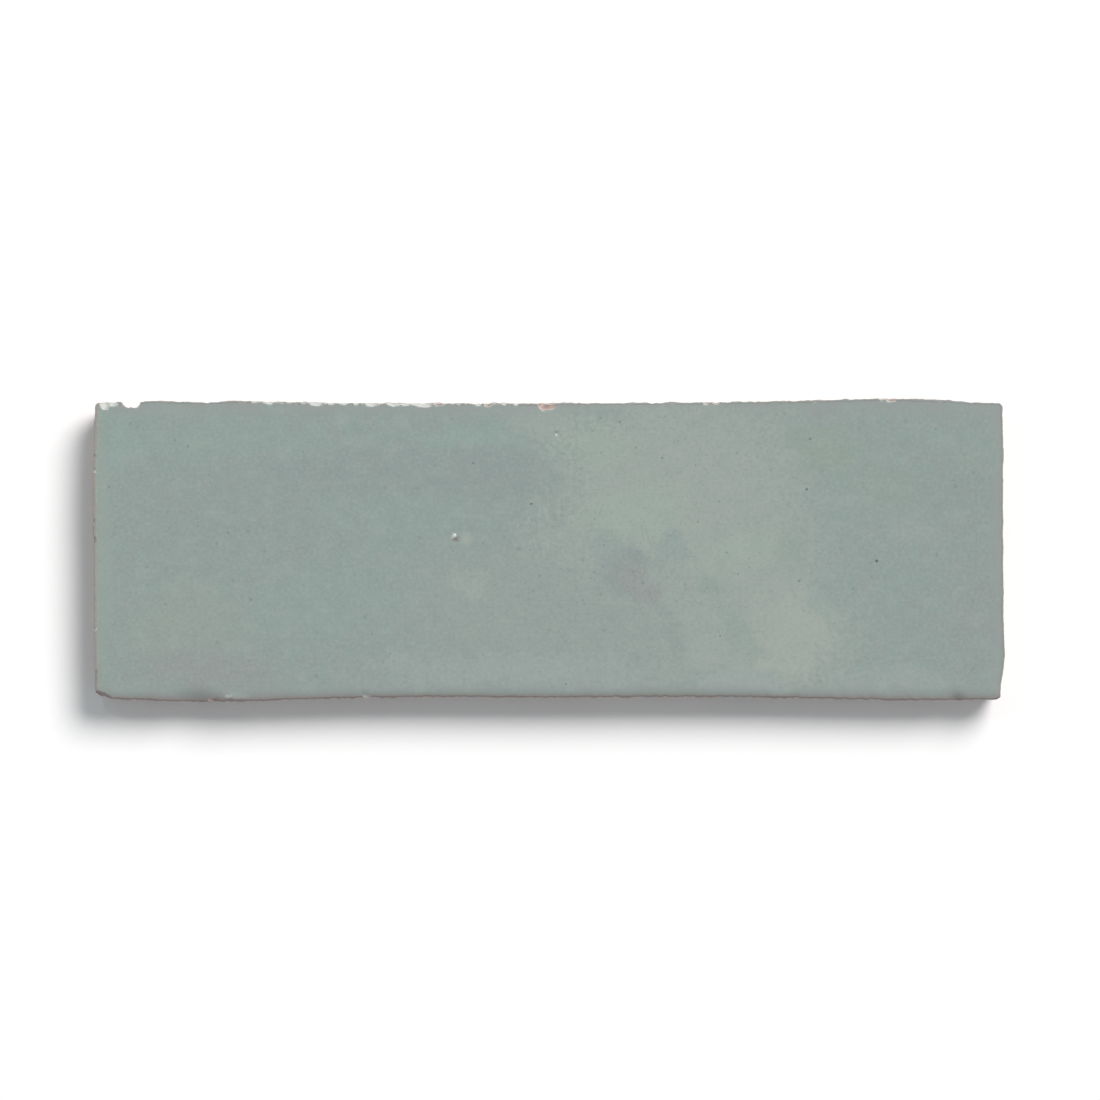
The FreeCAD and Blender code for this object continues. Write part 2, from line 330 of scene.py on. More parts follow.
# The map, with its margin and the places of its parts as shares of its width and height
MAP_NAME = "OFBake"
MAP_MARGIN = 0.0075
MAP_PLACES = {
    "face": (0.0, 0.01),
    "back": (0.0, 0.35),
    "lower": (0.0, 0.69),
    "upper": (0.0, 0.76),
    "right": (0.0, 0.83),
    "left": (0.5, 0.83),
}
MAP_OVERHANG = 1.0  # room for the edges' waves, in mm


def paint(red, green, blue):
    """A colour as it is seen, from 0 to 255, as the linear colour that Blender works with."""
    shares = (np.array((red, green, blue)) / 255 + 0.055) / 1.055
    return (*(float(share) ** 2.4 for share in shares), 1.0)


def length(name, description, millimetres):
    return bpy.props.FloatProperty(
        name=name, description=description, default=millimetres * MM, min=0, unit="LENGTH", precision=5
    )


def shift(name, description, millimetres):
    return bpy.props.FloatProperty(
        name=name, description=description, default=millimetres * MM, unit="LENGTH", precision=5
    )


def angle(name, description, degrees):
    return bpy.props.FloatProperty(
        name=name, description=description, default=math.radians(degrees), subtype="ANGLE"
    )


def level(name, description, share):
    return bpy.props.FloatProperty(
        name=name, description=description, default=share, min=0, max=1, subtype="FACTOR"
    )


def colour(name, description, *rgb):
    return bpy.props.FloatVectorProperty(
        name=name, description=description, default=paint(*rgb), min=0, max=1, size=4, subtype="COLOR"
    )


class TileSizes(bpy.types.PropertyGroup):
    length: length("Length", "Length of the face between straight edges", 200)
    width: length("Width", "Width of the face between straight edges", 65)
    thickness: length("Thickness", "Height of the face's highest point", HIGHEST.z / MM)
    border: length("Border", "Width of the finely divided band inside the edge", 3.5)
    bed_inset: length("Bed inset", "How far the back lies inside the edge of the face", 1.3)
    corner_radius: length("Corner radius", "Radius of the tile's corners", 1)
    corner_run: length("Corner run", "Straight run beside each corner", 2.5)
    roll_width: length("Roll width", "Width over which the face rolls down to its edges", 2.2)


class TileColours(bpy.types.PropertyGroup):
    glaze: colour("Glaze", "Main colour of the glaze", 137, 150, 146)
    dark: colour("Dark", "Glaze where it lies thick", 135, 147, 144)
    green: colour("Green", "Greener glaze", 136, 154, 148)
    ochre: colour("Ochre", "Glaze warmed by the clay", 143, 153, 145)
    violet: colour("Violet", "Greyer, cooler glaze", 140, 147, 144.8)
    ash: colour("Ash", "Slightly paler grey glaze", 142, 152, 148)
    mist: colour("Mist", "Pale cool glaze", 147, 157, 154)
    pale: colour("Pale", "Thin glaze over the white slip", 148, 158, 152)
    leaf: colour("Leaf", "Pale green glaze", 148, 164, 153)
    cream: colour("Cream", "Palest, yellowest glaze", 158, 168, 159)
    blue: colour("Blue", "Bluish patches", 138, 153, 148.5)
    moss: colour("Moss", "Dark green patches", 136, 152, 145)
    olive: colour("Olive", "Dull yellow-green patches", 136, 151, 142)
    speck: colour("Speck", "Dark specks in the glaze", 60, 92, 96)
    slip: colour("Slip", "White slip under the glaze", 190, 193, 189)
    # The brown also paints shade: beside the blister, in a dent and on the lower left corner's break.
    stain_and_shade: colour("Stain", "Brown stain in pits and on the broken clay", 119, 112, 110)
    rim: colour("Rim", "Clay stained by glaze along the lower and left edges", 140, 130, 126)
    fresh: colour("Fresh break", "Clay body where it is freshly broken", 172, 151, 144)
    clay: colour("Clay", "Fired clay body", 190, 170, 161)
    clay_dark: colour("Dark clay", "Darker fired clay", 168, 146, 137)
    grog: colour("Grog", "Pale grains in the clay", 216, 200, 186)


class StudioSettings(bpy.types.PropertyGroup):
    frame_width: length("Frame width", "Width of the view at the face", 242.3)
    view_x: shift("View x", "Place of the camera along the tile", 0.22)
    view_y: shift("View y", "Place of the camera across the tile", 0.11)
    lens: bpy.props.FloatProperty(
        name="Lens", description="Focal length in millimetres", default=400, min=1, unit="CAMERA"
    )
    floor_size: length("Floor size", "Side of the white floor", 8000)
    floor_white: level("Floor white", "Share of the light that the floor gives back", 0.98)
    key_level: level("Key light", "Share of the light on the floor from the key", 0.684)
    sky_level: level("Sky light", "Share of the light on the floor from all round", 0.379)
    key_colour: colour("Key colour", "Colour of the key, slightly warm", 255, 249.9, 247.8)
    sky_colour: colour("Sky colour", "Colour of the light from all round, slightly cool", 241.7, 251.2, 255)
    key_width: angle("Key width", "How wide the key looks", 31)
    key_turn: angle("Key turn", "Direction of the key from +X", 51)
    key_height: angle("Key height", "Height of the key", 46)
    glint_power: bpy.props.FloatProperty(
        name="Glint lamp", description="Power of the small lamp for glints", default=0.25, unit="POWER"
    )
    glint_size: length("Glint size", "Side of the small lamp for glints", 50)
    glint_x: shift("Glint x", "Place of the small lamp along the tile", -260)
    glint_y: shift("Glint y", "Place of the small lamp across the tile", 340)
    glint_z: shift("Glint z", "Height of the small lamp", 760)


def spline(poles):
    """Points on a smooth curve: the control points' mean, weighted by cubic B-spline basis functions,
    which are built up degree by degree on knots that repeat at both ends."""
    poles = np.asarray(poles, float)
    spans = len(poles) - 3
    knots = np.concatenate([np.zeros(3), np.arange(spans + 1), np.full(3, spans)])
    at = np.linspace(0, spans * (1 - TINY), CURVE_SAMPLES)[:, None]
    weights = ((knots[:-1] <= at) & (at < knots[1:])).astype(float)
    for degree in (1, 2, 3):
        low, high = knots[: -degree - 1], knots[degree + 1 :]
        rise = (at - low) / np.maximum(knots[degree:-1] - low, TINY)
        fall = (high - at) / np.maximum(high - knots[1:-degree], TINY)
        weights = rise * weights[:, :-1] + fall * weights[:, 1:]
    return weights @ poles


def ripples(x, y, wavelength, seed, count=12):
    """Uneven waves with a spread of about 1: the sum of cosine waves of about one wavelength that run
    in random directions from random phases."""
    draw = np.random.default_rng(seed)
    turns = draw.uniform(0, math.tau, count)
    phases = draw.uniform(0, math.tau, count)
    rates = math.tau / (wavelength * draw.uniform(*WAVELENGTH_SPREAD, count))
    total = np.zeros(np.broadcast(x, y).shape)
    for turn, phase, rate in zip(turns, phases, rates):
        total += np.cos(rate * (x * math.cos(turn) + y * math.sin(turn)) + phase)
    return total / math.sqrt(count / 2)


def waves_at(x, y, table):
    """The sum of a table's uneven waves, each times its height."""
    return sum(height * ripples(x, y, wavelength, seed) for height, wavelength, seed in table)


def graded(count, half, spots):
    """Shares from -1 to 1 that divide a half length, closer together at each spot: the running sum of
    a density, which is 1 plus a bell curve at each spot, read backwards."""
    shares = np.linspace(-1, 1, DENSITY_SAMPLES)
    density = np.ones_like(shares)
    for spot, reach, gain in spots:
        density += gain * np.exp(-(((shares * half - spot) / reach) ** 2))
    running = np.cumsum(density)
    return np.interp(np.linspace(running[0], running[-1], count + 1), running, shares)


def divided(shares, parts):
    """Each step of a list of shares cut into equal parts."""
    steps = len(shares) - 1
    return np.interp(np.linspace(0, steps, steps * parts + 1), np.arange(steps + 1), shares)


def edge_length(sizes, edge):
    return sizes.length if edge in LONG_EDGES else sizes.width


def edge_points(sizes, edge, shares, waves, inset, radius):
    """One edge in plan, from the middle of one corner to the middle of the next. It stands out by the
    spline of its waves and a bell curve for each bump, and beside the corners falls back along a
    circle."""
    turn = EDGES.index(edge)
    before, after = EDGES[turn - 1], EDGES[(turn + 1) % len(EDGES)]
    spans = (sizes.length, sizes.width) if edge in LONG_EDGES else (sizes.width, sizes.length)
    half, reach = (span / 2 - inset for span in spans)
    start = -(half - radius + waves[before][-1])
    end = half - radius + waves[after][0]
    last = len(waves[edge]) - 1
    stations = [half * (2 * number / last - 1) for number in range(1, last)]
    places = [start, start + sizes.corner_run, *stations, end - sizes.corner_run, end]
    outs = [waves[edge][0], *waves[edge], waves[edge][-1]]
    curve = spline(np.column_stack([places, outs]))
    turned = radius * math.sqrt(0.5)
    along = np.interp(shares, (-1, 1), (start - turned, end + turned))
    past = np.maximum(0, np.maximum(along - end, start - along))
    fall = radius - np.sqrt(np.maximum(radius**2 - past**2, 0))
    out = reach + np.interp(along, curve[:, 0], curve[:, 1]) - fall
    for bumped, place, half_length, rise in EDGE_BUMPS:
        if bumped == edge and waves is EDGE_WAVES:
            middle = (place - half) * sum(AXES[edge][0])
            out += rise * np.exp(-(((along - middle) / half_length) ** 2))
    forward, outward = (np.array(axis) for axis in AXES[edge])
    return along[:, None] * forward + out[:, None] * outward


def ring(sizes, lines, waves, inset, radius):
    """The closed outline, counter-clockwise from the lower left corner."""
    x, y = lines
    shares = {"lower": x, "right": y, "upper": -x[::-1], "left": -y[::-1]}
    parts = [edge_points(sizes, edge, shares[edge], waves, inset, radius)[:-1] for edge in EDGES]
    return np.concatenate(parts)


def round_the_ring(table, lines, spread):
    """A value for each column of the outline, by edge: the mean of the edges' values over the columns
    within a spread on both sides."""
    counts = {edge: len(lines[0 if edge in LONG_EDGES else 1]) - 1 for edge in EDGES}
    values = np.concatenate([np.full(counts[edge], table[edge], float) for edge in EDGES])
    kernel = np.ones(2 * spread + 1) / (2 * spread + 1)
    return np.convolve(np.concatenate([values[-spread:], values, values[:spread]]), kernel, "valid")


def face_height(sizes, x, y):
    """Height of the face: its thickness, less a quartic through the dips along it and the spline of
    its crown across it, plus slow waves of the glaze and a bell curve for each blemish."""
    stations = np.linspace(-1, 1, len(FACE_DIPS))
    dips = np.polyfit(stations, FACE_DIPS, len(FACE_DIPS) - 1)
    half = sizes.width / 2 + CROWN_OVERLAP
    crown = spline(np.column_stack([half * stations, CROWN_FALLS]))
    z = sizes.thickness - np.polyval(dips, x / (sizes.length / 2 + CROWN_OVERLAP))
    z -= np.interp(y, crown[:, 0], crown[:, 1])
    z += waves_at(x, y, FACE_WAVES) - FACE_SINK
    for spot_x, spot_y, half_length, half_width, rise in BLEMISHES:
        away = ((x - spot_x) / half_length) ** 2 + ((y - spot_y) / half_width) ** 2
        z += rise * np.exp(-away)
    return z


def arris_rows(radii):
    """Inset and depth of the band's rows on the face, round the quarter circle of the arris and down
    the upright lip, for each column's radius. On the lip the inset goes on below nought."""
    angles = np.linspace(0, math.pi / 2, ARRIS_STEPS)[:, None]
    flat = np.ones_like(radii)
    face = np.array(FACE_INSETS)[:, None] * flat
    lip = np.array(LIP_DEPTHS)[:, None] * flat
    insets = np.concatenate([face, radii * (1 - np.sin(angles)), radii - lip])
    depths = np.concatenate([face * 0, radii * (1 - np.cos(angles)), lip])
    return insets, depths


def edge_band(sizes, lines):
    """The band round the tile, row by row from the face over the arris and down to the back. A row
    on top lies on the line from the outline to the inner border, a row below on the line from the lip
    to the foot. Returns the points, their insets, which below the lip stay at its last one, and the
    way out of the tile."""
    rim = ring(sizes, lines, EDGE_WAVES, 0, sizes.corner_radius)
    inner = ring(sizes, lines, STRAIGHT, sizes.border, 0)
    foot = ring(sizes, lines, STRAIGHT, sizes.bed_inset, sizes.corner_radius)
    outward = (rim - inner) / np.linalg.norm(rim - inner, axis=1, keepdims=True)
    rough = round_the_ring(EDGE_ROUGHNESS, lines, EDGE_BLEND)
    rim = rim + outward * (rough * waves_at(*rim.T, EDGE_LINE_WAVES))[:, None]
    insets, depths = arris_rows(round_the_ring(ARRIS_RADII, lines, EDGE_BLEND))
    plan = rim + (inner - rim) * (np.maximum(insets, 0) / sizes.border)[:, :, None]
    roll = round_the_ring(EDGE_ROLLS, lines, ROLL_BLEND)
    falling = np.clip(1 - np.maximum(insets, 0) / sizes.roll_width, 0, 1) ** 2
    z = face_height(sizes, plan[:, :, 0], plan[:, :, 1]) - roll * falling - depths
    top = np.dstack([plan, z])
    lip = top[-1]
    foot_top = np.column_stack([foot, np.full(len(foot), FOOT_RADIUS)])
    flank = lip + (foot_top - lip) * np.array(FLANK_SHARES)[:, None, None]
    angles = np.linspace(0, math.pi / 2, FOOT_STEPS + 1)[1:, None]
    under = foot - outward * (FOOT_RADIUS * (1 - np.cos(angles)))[:, :, None]
    floor = np.broadcast_to(FOOT_RADIUS * (1 - np.sin(angles)), under.shape[:2])
    points = np.concatenate([top, flank, np.dstack([under, floor])])
    below = len(points) - len(top)
    return points, np.pad(insets, ((0, below), (0, 0)), mode="edge"), outward


def dressed(points, outward):
    """Uneven hand dressing of the sides: waves and scrapes that push the points out or in, fading to
    nothing at the arris and at the foot."""
    fade = np.zeros(len(points))
    fade[LIP_ROW:-FOOT_STEPS] = 1
    fade[LIP_ROW] = FIRST_LIP_SHARE
    x, y, z = points[:, :, 0], points[:, :, 1], points[:, :, 2]
    push = np.zeros(x.shape)
    for height, wavelength, seed, shift_x, shift_y in SIDE_WAVES:
        push += height * ripples(x + shift_x * z, y + shift_y * z, wavelength, seed)
    moved = points.copy()
    moved[:, :, :2] += outward * (push * fade[:, None])[:, :, None]
    return moved


def all_chips(sizes):
    """The listed chips, and small nibbles at random places along each edge, which show no clay."""
    draw = np.random.default_rng(NIBBLE_SEED)
    chips = list(CHIPS)
    for edge, count in NIBBLES.items():
        furthest = edge_length(sizes, edge) - NIBBLE_MARGIN
        for _ in range(count):
            bite = draw.uniform(*NIBBLE_BITES)
            place = draw.uniform(NIBBLE_MARGIN, furthest)
            chips.append((edge, place, bite * draw.uniform(*NIBBLE_LENGTHS), bite, bite, 0.0))
    return chips


def notched(sizes, points):
    """Cuts the notches down through the edge band. A notch is an ellipse in plan, which may narrow
    with depth, and the points inside it are pushed level, straight away from its middle, onto its rim."""
    points = points.copy()
    core = np.zeros(points.shape[:2])
    broken = np.zeros(points.shape[:2])
    for edge, place, out, size, bite, narrowing, clay in NOTCHES:
        forward, outward = (np.abs(axis) for axis in AXES[edge])
        reach = sum(AXES[edge][1]) * (sizes.width / 2 + out)
        centre = (place - sizes.length / 2) * forward + reach * outward
        scaled = (points[:, :, :2] - centre) / (size / 2 * forward + bite * outward)
        depth = sizes.thickness - points[:, :, 2]
        away = np.linalg.norm(scaled, axis=2) / np.maximum(1 - narrowing * depth, NARROWEST_NOTCH)
        inside = away < 1
        pushed = centre + (points[:, :, :2] - centre) / np.maximum(away, TINY)[:, :, None]
        broken[inside] = np.linalg.norm(pushed - points[:, :, :2], axis=2)[inside]
        core[inside] = clay
        points[inside, :2] = pushed[inside]
    return points, broken, core


def chipped(sizes, points):
    """Bites the chips out of the edge band. A chip is an ellipsoid whose centre lies outside the
    arris; points inside it are pushed straight away from the centre, onto its surface. Returns the
    points, how deep the listed chips break in at each and how much clay shows there. The small
    nibbles are worn, and show no fresh break."""
    points, broken, core = notched(sizes, points)
    start = points.copy()
    face = points[ARRIS_ROW]
    rim = points[LIP_ROW - 1]
    span = math.hypot(1 + CHIP_OFFSET, CHIP_OFFSET)
    for number, (edge, place, size, bite, drop, clay) in enumerate(all_chips(sizes)):
        forward, outward = (np.abs(axis) for axis in AXES[edge])
        sign = sum(AXES[edge][1])
        along = place - edge_length(sizes, edge) / 2
        near = np.argmin(np.abs(rim[:, :2] @ forward - along) - sign * (rim[:, :2] @ outward))
        edge_at = rim[near, :2] @ outward
        top = face[near, 2]
        centre = along * forward + (edge_at + sign * CHIP_OFFSET * bite) * outward
        centre = np.append(centre, top + CHIP_OFFSET * drop)
        half = size / 2 / math.sqrt(1 - 2 * (CHIP_OFFSET / span) ** 2)
        axes = np.append(half * forward + span * bite * outward, span * drop)
        scaled = (points - centre) / axes
        away = np.linalg.norm(scaled, axis=2)
        ripple = ripples(start[:, :, 0], start[:, :, 1] - start[:, :, 2], size / 2, CHIP_SEED + number)
        uneven = 1 + CHIP_UNEVENNESS * ripple
        inside = away < uneven
        pushed = centre + axes * scaled * (uneven / np.maximum(away, TINY))[:, :, None]
        gone = np.linalg.norm(pushed - points, axis=2)
        points[inside] = pushed[inside]
        if number < len(CHIPS):
            broken[inside] += gone[inside]
            core[inside] = clay
    return points, broken, core


def patch(sizes, lines, inset, height):
    """A flat grid inside a straight border, raised to a height that depends on the place."""
    x = lines[0] * (sizes.length / 2 - inset)
    y = lines[1] * (sizes.width / 2 - inset)
    across, up = np.meshgrid(x, y)
    return np.dstack([across, up, height(across, up)])


def back_height(sizes, x, y):
    """Shallow hollows of the back, which still lies on its high places: waves above nought, faded out
    towards the edges."""
    away = np.minimum(sizes.length / 2 - np.abs(x), sizes.width / 2 - np.abs(y)) - sizes.border
    fade = np.clip(away / BACK_FADE, 0, 1)
    return fade * np.maximum(0, waves_at(x, y, BACK_WAVES))


def quads(rows, columns):
    """Corner numbers of the cells of a grid, counter-clockwise."""
    corner = (np.arange(rows - 1)[:, None] * columns + np.arange(columns - 1)).ravel()
    return np.column_stack([corner, corner + 1, corner + columns + 1, corner + columns])


def band_quads(rows, columns):
    """Corner numbers of the cells of a closed band, counter-clockwise seen from outside."""
    row = np.arange(rows - 1)[:, None] * columns
    here = np.arange(columns)
    following = np.roll(here, -1)
    corners = [row + here, row + columns + here, row + columns + following, row + following]
    return np.column_stack([corner.ravel() for corner in corners])


def border(rows, columns):
    """Numbers of a grid's border, counter-clockwise from the lower left corner."""
    number = np.arange(rows * columns).reshape(rows, columns)
    sides = [number[0, :-1], number[:-1, -1], number[-1, :0:-1], number[:0:-1, 0]]
    return np.concatenate(sides)


def stitches(coarse, fine, parts):
    """Triangles between a coarse ring and a finer one round it: the first half of each coarse step's
    fine steps meet its first point, the others its second, and one triangle closes the step."""
    following = np.roll(coarse, -1)
    ends = np.append(fine, fine[0])
    half = parts // 2
    made = []
    for part in range(parts):
        near = coarse if part < half else following
        made.append(np.column_stack([near, ends[part:-1:parts], ends[part + 1 :: parts]]))
    made.append(np.column_stack([coarse, ends[half:-1:parts], following]))
    return np.concatenate(made)


class Shape:
    """Collects points, faces, materials and map places of one mesh."""

    def __init__(self):
        self.points = []
        self.faces = []
        self.values = {"inset": [], "chip": [], "core": []}
        self.count = 0

    def add_points(self, points, **values):
        first = self.count
        flat = points.reshape(-1, 3)
        self.points.append(flat)
        self.count += len(flat)
        for name, store in self.values.items():
            store.append(np.broadcast_to(values.get(name, 0.0), points.shape[:-1]).ravel())
        return first

    def add_faces(self, corners, material, places):
        self.faces.append((corners, material, places))

    def mesh(self, name, materials):
        """The mesh, with its values as point attributes and its places as a map."""
        mesh = bpy.data.meshes.new(name)
        corners = np.concatenate([group.ravel() for group, _, _ in self.faces])
        sizes = np.concatenate([np.full(len(group), group.shape[1]) for group, _, _ in self.faces])
        mesh.vertices.add(self.count)
        mesh.vertices.foreach_set("co", np.concatenate(self.points).ravel() * MM)
        mesh.loops.add(len(corners))
        mesh.loops.foreach_set("vertex_index", corners)
        mesh.polygons.add(len(sizes))
        mesh.polygons.foreach_set("loop_start", np.concatenate([[0], np.cumsum(sizes)[:-1]]))
        chosen = np.concatenate([np.broadcast_to(kind, len(group)) for group, kind, _ in self.faces])
        mesh.polygons.foreach_set("material_index", chosen)
        mesh.update(calc_edges=True)
        mesh.shade_smooth()
        for attribute, values in self.values.items():
            layer = mesh.attributes.new(attribute, "FLOAT", "POINT")
            layer.data.foreach_set("value", np.concatenate(values))
        places = np.concatenate([place.reshape(-1, 2) for _, _, place in self.faces])
        mesh.uv_layers.new(name=MAP_NAME).data.foreach_set("uv", places.ravel())
        for material in materials:
            mesh.materials.append(material)
        if mesh.validate():
            raise RuntimeError(f"{name} has faulty faces")
        return mesh


def map_scale(sizes):
    """Shares of the map in a millimetre, so that the tile's length fills it between its margins."""
    return (1 - 2 * MAP_MARGIN) / (sizes.length + 2 * MAP_OVERHANG)


def from_above(sizes, points, corners, part):
    """Map places of faces seen from above, to scale."""
    corner = (sizes.length / 2 + MAP_OVERHANG, sizes.width / 2 + MAP_OVERHANG)
    plan = points.reshape(-1, 3)[corners][:, :, :2] + corner
    start, row = MAP_PLACES[part]
    return plan * map_scale(sizes) + (MAP_MARGIN + start, row)


def from_the_side(sizes, lines, points, first_row):
    """Map places of the band's lower rows, edge by edge, to scale: the way along an edge, and the
    way down from the fold."""
    scale = map_scale(sizes)
    rows = points[first_row:]
    steps = np.linalg.norm(np.diff(rows, axis=0), axis=2).mean(1)
    down = np.concatenate([[0], np.cumsum(steps)]) * scale
    parts = []
    for edge in EDGES:
        shares = lines[0] if edge in LONG_EDGES else lines[1]
        start, row = MAP_PLACES[edge]
        along = MAP_MARGIN + start + (shares + 1) / 2 * edge_length(sizes, edge) * scale
        parts.append((along[:-1], along[1:], np.full(len(shares) - 1, row)))
    here, following, base = (np.concatenate(items) for items in zip(*parts))
    places = np.empty((len(rows) - 1, len(here), 4, 2))
    for corner, (along, lower) in enumerate(((here, 0), (here, 1), (following, 1), (following, 0))):
        places[:, :, corner, 0] = along
        places[:, :, corner, 1] = base + down[lower : lower + len(rows) - 1, None]
    return places


def tile_shape(sizes):
    """The whole tile as one closed surface: face patch, edge band and back, stitched together."""
    shape = Shape()
    coarse = (
        graded(CELLS_ALONG, sizes.length / 2 - sizes.border, FINE_SPOTS_ALONG),
        graded(CELLS_ACROSS, sizes.width / 2 - sizes.border, FINE_SPOTS_ACROSS),
    )
    fine = tuple(divided(shares, FINE_PER_CELL) for shares in coarse)
    wide = tuple(shares[::BACK_SHARE] for shares in coarse)
    glaze, clay = 0, 1

    face = patch(sizes, coarse, sizes.border, lambda x, y: face_height(sizes, x, y))
    rows, columns = face.shape[:2]
    away = np.minimum(sizes.length / 2 - np.abs(face[:, :, 0]), sizes.width / 2 - np.abs(face[:, :, 1]))
    face_first = shape.add_points(face, inset=away)
    band, insets, outward = edge_band(sizes, fine)
    band, pushed, core = chipped(sizes, dressed(band, outward))
    band_first = shape.add_points(band, inset=insets, chip=pushed, core=core)
    back_inset = sizes.border + sizes.bed_inset
    back = patch(sizes, wide, back_inset, lambda x, y: back_height(sizes, x, y))
    back_first = shape.add_points(back)
    points = np.concatenate(shape.points)

    cells = quads(rows, columns) + face_first
    shape.add_faces(cells, glaze, from_above(sizes, points, cells, "face"))
    around = len(band[0])
    ring_first = np.arange(around) + band_first
    seam = stitches(border(rows, columns) + face_first, ring_first, FINE_PER_CELL)
    shape.add_faces(seam, glaze, from_above(sizes, points, seam, "face"))
    cells = band_quads(len(band), around) + band_first
    upper = cells[: FOLD_ROW * around]
    shape.add_faces(upper, glaze, from_above(sizes, points, upper, "face"))
    lower = cells[FOLD_ROW * around :]
    kinds = np.where(np.arange(FOLD_ROW, len(band) - 1) < CLAY_ROW, glaze, clay)
    places = from_the_side(sizes, fine, band, FOLD_ROW)
    shape.add_faces(lower, np.repeat(kinds, around), places)
    foot = ring_first + (len(band) - 1) * around
    seam = stitches(border(*back.shape[:2]) + back_first, foot, FINE_PER_CELL * BACK_SHARE)[:, ::-1]
    shape.add_faces(seam, clay, from_above(sizes, points, seam, "back"))
    cells = quads(*back.shape[:2])[:, ::-1] + back_first
    shape.add_faces(cells, clay, from_above(sizes, points, cells, "back"))
    return shape


class Graph:
    """Adds nodes to a shader tree. An input is a plain value or another node's output."""

    def __init__(self, tree):
        self.tree = tree

    def add(self, kind, inputs=None, **settings):
        node = self.tree.nodes.new(f"ShaderNode{kind}")
        for name, value in settings.items():
            setattr(node, name, value)
        for name, value in (inputs or {}).items():
            self.feed(node.inputs[name], value)
        return node

    def feed(self, socket, value):
        if isinstance(value, bpy.types.NodeSocket):
            self.tree.links.new(value, socket)
        else:
            socket.default_value = value

    def math(self, operation, *values):
        return self.add("Math", dict(enumerate(values)), operation=operation).outputs[0]

    def times(self, first, second):
        return self.math("MULTIPLY", first, second)

    def line(self, value, slope, start):
        """A straight line: the value times a slope, plus a start."""
        return self.math("MULTIPLY_ADD", value, slope, start)

    def largest(self, first, *others):
        for other in others:
            first = self.math("MAXIMUM", first, other)
        return first

    def vector(self, operation, *values):
        node = self.add("VectorMath", dict(enumerate(values)), operation=operation)
        return node.outputs["Value" if operation in ("LENGTH", "DISTANCE") else "Vector"]

    def mix(self, share, first, second, strength=1.0):
        """The first colour where the share is 0, and towards the second by a strength where it is 1."""
        if strength != 1:
            share = self.times(share, strength)
        return self.add("Mix", {0: share, 6: first, 7: second}, data_type="RGBA").outputs[2]

    def rise(self, value, low, high):
        """Rises smoothly from 0 where the value is low to 1 where it is high."""
        inputs = {"Value": value, "From Min": low, "From Max": high}
        return self.add("MapRange", inputs, interpolation_type="SMOOTHSTEP").outputs[0]

    def noise(self, place, size, detail=2.0, roughness=0.5, plane=True):
        """Smooth noise from 0 to 1, with features of about a size, in the plane or in space."""
        inputs = {"Vector": place, "Scale": 1 / size, "Detail": detail, "Roughness": roughness}
        return self.add("TexNoise", inputs, noise_dimensions="2D" if plane else "3D").outputs[0]

    def drift(self, place, source, size, amount):
        """The place, moved at random by up to half an amount, as noise at a source place says."""
        inputs = {"Vector": source, "Scale": 1 / size, "Detail": 2.0}
        moves = self.add("TexNoise", inputs, noise_dimensions="2D").outputs[1]
        centred = self.vector("SUBTRACT", moves, (0.5, 0.5, 0.5))
        return self.vector("ADD", place, self.vector("MULTIPLY", centred, (amount, amount, 0.0)))

    def millimetres(self):
        """The place on the tile, in millimetres."""
        place = self.add("TexCoord").outputs["Object"]
        return self.vector("MULTIPLY", place, (1 / MM, 1 / MM, 1 / MM))

    def value(self, name):
        """A value that the mesh holds at its points."""
        return self.add("Attribute", attribute_name=name).outputs["Fac"]

    def use(self, group, **inputs):
        node = self.tree.nodes.new("ShaderNodeGroup")
        node.node_tree = group
        for name, value in inputs.items():
            self.feed(node.inputs[name], value)
        return node.outputs


def new_group(name, inputs, outputs):
    """An empty node group: its graph, its inputs and its outputs."""
    tree = bpy.data.node_groups.new(name, "ShaderNodeTree")
    for label, kind in inputs.items():
        tree.interface.new_socket(label, in_out="INPUT", socket_type=f"NodeSocket{kind}")
    for label, kind in outputs.items():
        tree.interface.new_socket(label, in_out="OUTPUT", socket_type=f"NodeSocket{kind}")
    start = tree.nodes.new("NodeGroupInput")
    end = tree.nodes.new("NodeGroupOutput")
    return Graph(tree), start.outputs, end.inputs


def grains_group():
    """Small round grains, one at most in each cell of a random mosaic, in a share of the cells."""
    inputs = {"Place": "Vector", "Spacing": "Float", "Share": "Float"}
    graph, given, made = new_group("grains", inputs, {"Mask": "Float"})
    rate = graph.math("DIVIDE", 1.0, given["Spacing"])
    cell = graph.add("TexVoronoi", {"Vector": given["Place"], "Scale": rate})
    near = graph.rise(cell.outputs["Distance"], low=0.16, high=0.06)
    lot = graph.add("SeparateColor", {"Color": cell.outputs["Color"]}).outputs[0]
    graph.feed(made["Mask"], graph.times(near, graph.math("LESS_THAN", lot, given["Share"])))
    return graph.tree


